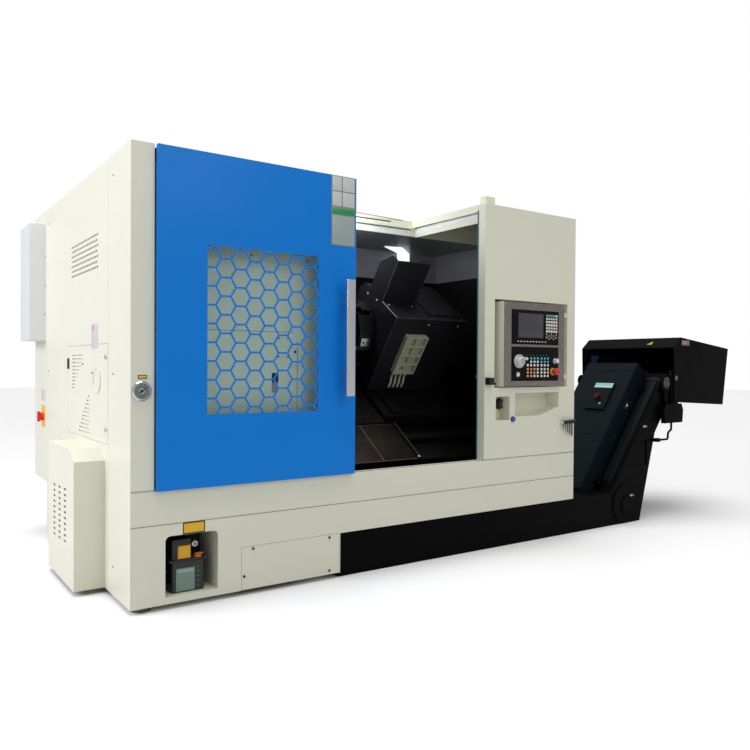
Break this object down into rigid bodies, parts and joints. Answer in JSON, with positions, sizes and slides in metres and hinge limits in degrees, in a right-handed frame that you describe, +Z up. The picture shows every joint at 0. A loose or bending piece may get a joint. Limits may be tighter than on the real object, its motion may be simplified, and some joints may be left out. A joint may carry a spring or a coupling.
{
  "type": "turning lathe",
  "caption": "Slant-bed turning lathe: sliding honeycomb-window door, turret, chuck, tailstock, swivelling control and a rising chip conveyor.",
  "frame": {"origin": "middle of the bounding box's bottom face, on the floor", "axes": "+X right along the front, +Y towards the back, +Z up"},
  "size_m": [4.432, 2.095, 1.96],
  "materials": {
    "white_paint": "smooth satin powder coat",
    "blue_paint": "smooth satin powder coat",
    "black_paint": "dark satin paint",
    "dark_casting": "painted and machined casting",
    "dark_sheet": "oiled dark sheet",
    "liner_beige": "satin paint",
    "steel": "ground and turned steel",
    "stainless": "brushed stainless sheet",
    "chrome": "polished plating",
    "light_casting": "cream painted casting",
    "black_plastic": "fine matt texture",
    "grey_plastic": "fine matt texture",
    "cooler_paint": "light grey satin paint",
    "clear": "clear laminated pane",
    "oil_tank": "moulded dark tank",
    "red_plastic": "moulded",
    "blue_plastic": "moulded",
    "white_plastic": "moulded",
    "belt_rubber": "ribbed rubber"
  },
  "bodies": {
    "machine": {"bed": "dark_casting", "levelling_feet": "steel", "front_base": "white_paint", "lubricator_tank": "oil_tank", "lubricator_pump": "black_plastic", "access_cover": "white_paint", "left_column": "white_paint", "left_side_panel": "white_paint", "pump_cover": "white_paint", "electrical_cabinet": "white_paint", "cabinet_cooler": "cooler_paint", "headstock_cover": "liner_beige", "headstock": "dark_casting", "roof": "white_paint", "rear_wall": "dark_sheet", "right_side_panel": "white_paint", "right_cabinet": "white_paint", "rear_panel": "white_paint", "pressure_gauge": "chrome", "hex_keys": "chrome", "way_covers": "steel", "spindle_motor": "dark_casting", "drive_belt": "belt_rubber", "conveyor_body": "black_paint", "conveyor_cover": "black_paint", "conveyor_hood": "black_paint", "conveyor_gearmotor": "black_paint", "conveyor_belt": "steel"},
    "door": {"door_panel": "blue_paint", "door_glass": "clear", "door_handle": "stainless", "door_roof_flap": "blue_paint"},
    "belt_door": {"belt_cover_door": "white_paint"},
    "main_switch": {"main_switch_knob": "red_plastic"},
    "needle": {"gauge_needle": "black_plastic"},
    "control": {"control_box": "stainless", "display_unit": "grey_plastic", "operator_panel": "black_plastic"},
    "handwheel": {"handwheel": "white_plastic"},
    "override": {"override_knob": "white_plastic"},
    "estop": {"estop_button": "red_plastic"},
    "cycle": {"cycle_button": "white_plastic"},
    "blue": {"blue_button": "blue_plastic"},
    "spindle": {"spindle": "steel", "chuck": "steel"},
    "jaw_1": {"chuck_jaw_1": "steel"},
    "jaw_2": {"chuck_jaw_2": "steel"},
    "jaw_3": {"chuck_jaw_3": "steel"},
    "motor_pulley": {"motor_pulley": "steel"},
    "cover_mid": {"way_cover_mid": "steel"},
    "carriage": {"carriage": "dark_casting"},
    "cross_slide": {"turret_housing": "dark_casting", "coolant_block": "light_casting"},
    "turret": {"turret_disc": "steel", "tool_holders": "steel"},
    "tailstock": {"tailstock": "dark_casting"},
    "quill": {"quill": "steel"},
    "centre": {"live_centre": "steel"},
    "conveyor_shaft": {"conveyor_shaft": "steel"},
    "conveyor_stop": {"conveyor_stop_button": "red_plastic"}
  },
  "joints": [
    {"name": "door_slide", "type": "slide", "parent": "machine", "child": "door", "axis": [1, 0, 0], "range_m": [0, 0.85]},
    {"name": "belt_door_hinge", "type": "hinge", "parent": "machine", "child": "belt_door", "pos_m": [-2.08, -0.6145, 0.878], "axis": [0, 0, 1], "range_deg": [0, 100]},
    {"name": "main_switch_turn", "type": "hinge", "parent": "machine", "child": "main_switch", "pos_m": [-2.086, 0.7905, 0.697], "axis": [1, 0, 0], "range_deg": [0, 90]},
    {"name": "needle_turn", "type": "hinge", "parent": "machine", "child": "needle", "pos_m": [-2.043, -0.9525, 0.902], "axis": [0, 1, 0], "range_deg": [-187, 83]},
    {"name": "control_swivel", "type": "hinge", "parent": "machine", "child": "control", "pos_m": [0.47, -0.9335, 1.135], "axis": [0, 0, 1], "range_deg": [0, 75]},
    {"name": "handwheel_turn", "type": "hinge", "parent": "control", "child": "handwheel", "pos_m": [0.051, -0.9905, 1.04], "axis": [0, 1, 0], "continuous": true},
    {"name": "override_turn", "type": "hinge", "parent": "control", "child": "override", "pos_m": [0.349, -0.9905, 1.044], "axis": [0, 1, 0], "range_deg": [-135, 135]},
    {"name": "estop_press", "type": "slide", "parent": "control", "child": "estop", "axis": [0, 1, 0], "range_m": [0, 0.006], "stiffness_N_per_m": 1500, "springref_m": -0.001},
    {"name": "cycle_press", "type": "slide", "parent": "control", "child": "cycle", "axis": [0, 1, 0], "range_m": [0, 0.004], "stiffness_N_per_m": 600, "springref_m": -0.001},
    {"name": "blue_press", "type": "slide", "parent": "machine", "child": "blue", "axis": [0, 1, 0], "range_m": [0, 0.004], "stiffness_N_per_m": 600, "springref_m": -0.001},
    {"name": "spindle_turn", "type": "hinge", "parent": "machine", "child": "spindle", "pos_m": [-1.153, -0.62723, 0.94704], "axis": [1, 0, 0], "continuous": true},
    {"name": "jaw_1_slide", "type": "slide", "parent": "spindle", "child": "jaw_1", "axis": [0, -0.5779, 0.8161], "range_m": [-0.02, 0.005]},
    {"name": "jaw_2_slide", "type": "slide", "parent": "spindle", "child": "jaw_2", "axis": [0, -0.4179, -0.9085], "range_m": [-0.02, 0.005]},
    {"name": "jaw_3_slide", "type": "slide", "parent": "spindle", "child": "jaw_3", "axis": [0, 0.9957, 0.0924], "range_m": [-0.02, 0.005]},
    {"name": "motor_pulley_turn", "type": "hinge", "parent": "machine", "child": "motor_pulley", "pos_m": [-1.576, -0.3125, 0.352], "axis": [1, 0, 0], "continuous": true},
    {"name": "carriage_slide", "type": "slide", "parent": "machine", "child": "carriage", "axis": [1, 0, 0], "range_m": [-0.25, 0.38]},
    {"name": "cover_mid_slide", "type": "slide", "parent": "machine", "child": "cover_mid", "axis": [1, 0, 0], "range_m": [-0.125, 0.19]},
    {"name": "cross_slide_travel", "type": "slide", "parent": "carriage", "child": "cross_slide", "axis": [0, 0.8161, 0.5779], "range_m": [-0.225, 0.01]},
    {"name": "turret_index", "type": "hinge", "parent": "cross_slide", "child": "turret", "pos_m": [-0.606, -0.25321, 1.21309], "axis": [1, 0, 0], "continuous": true},
    {"name": "tailstock_slide", "type": "slide", "parent": "machine", "child": "tailstock", "axis": [-1, 0, 0], "range_m": [0, 0.65]},
    {"name": "quill_slide", "type": "slide", "parent": "tailstock", "child": "quill", "axis": [1, 0, 0], "range_m": [-0.1, 0]},
    {"name": "centre_turn", "type": "hinge", "parent": "quill", "child": "centre", "pos_m": [0.114, -0.62723, 0.94704], "axis": [1, 0, 0], "continuous": true},
    {"name": "conveyor_shaft_turn", "type": "hinge", "parent": "machine", "child": "conveyor_shaft", "pos_m": [1.49376, -0.5955, 0.9084], "axis": [0, 1, 0], "continuous": true},
    {"name": "conveyor_stop_press", "type": "slide", "parent": "machine", "child": "conveyor_stop", "axis": [0.8049, 0, -0.5934], "range_m": [0, 0.005], "stiffness_N_per_m": 600, "springref_m": -0.001}
  ],
  "couplings": [
    {"joint": "jaw_2_slide", "follows": "jaw_1_slide", "ratio": 1},
    {"joint": "jaw_3_slide", "follows": "jaw_1_slide", "ratio": 1},
    {"joint": "motor_pulley_turn", "follows": "spindle_turn", "ratio": 1.375},
    {"joint": "cover_mid_slide", "follows": "carriage_slide", "ratio": 0.5}
  ]
}
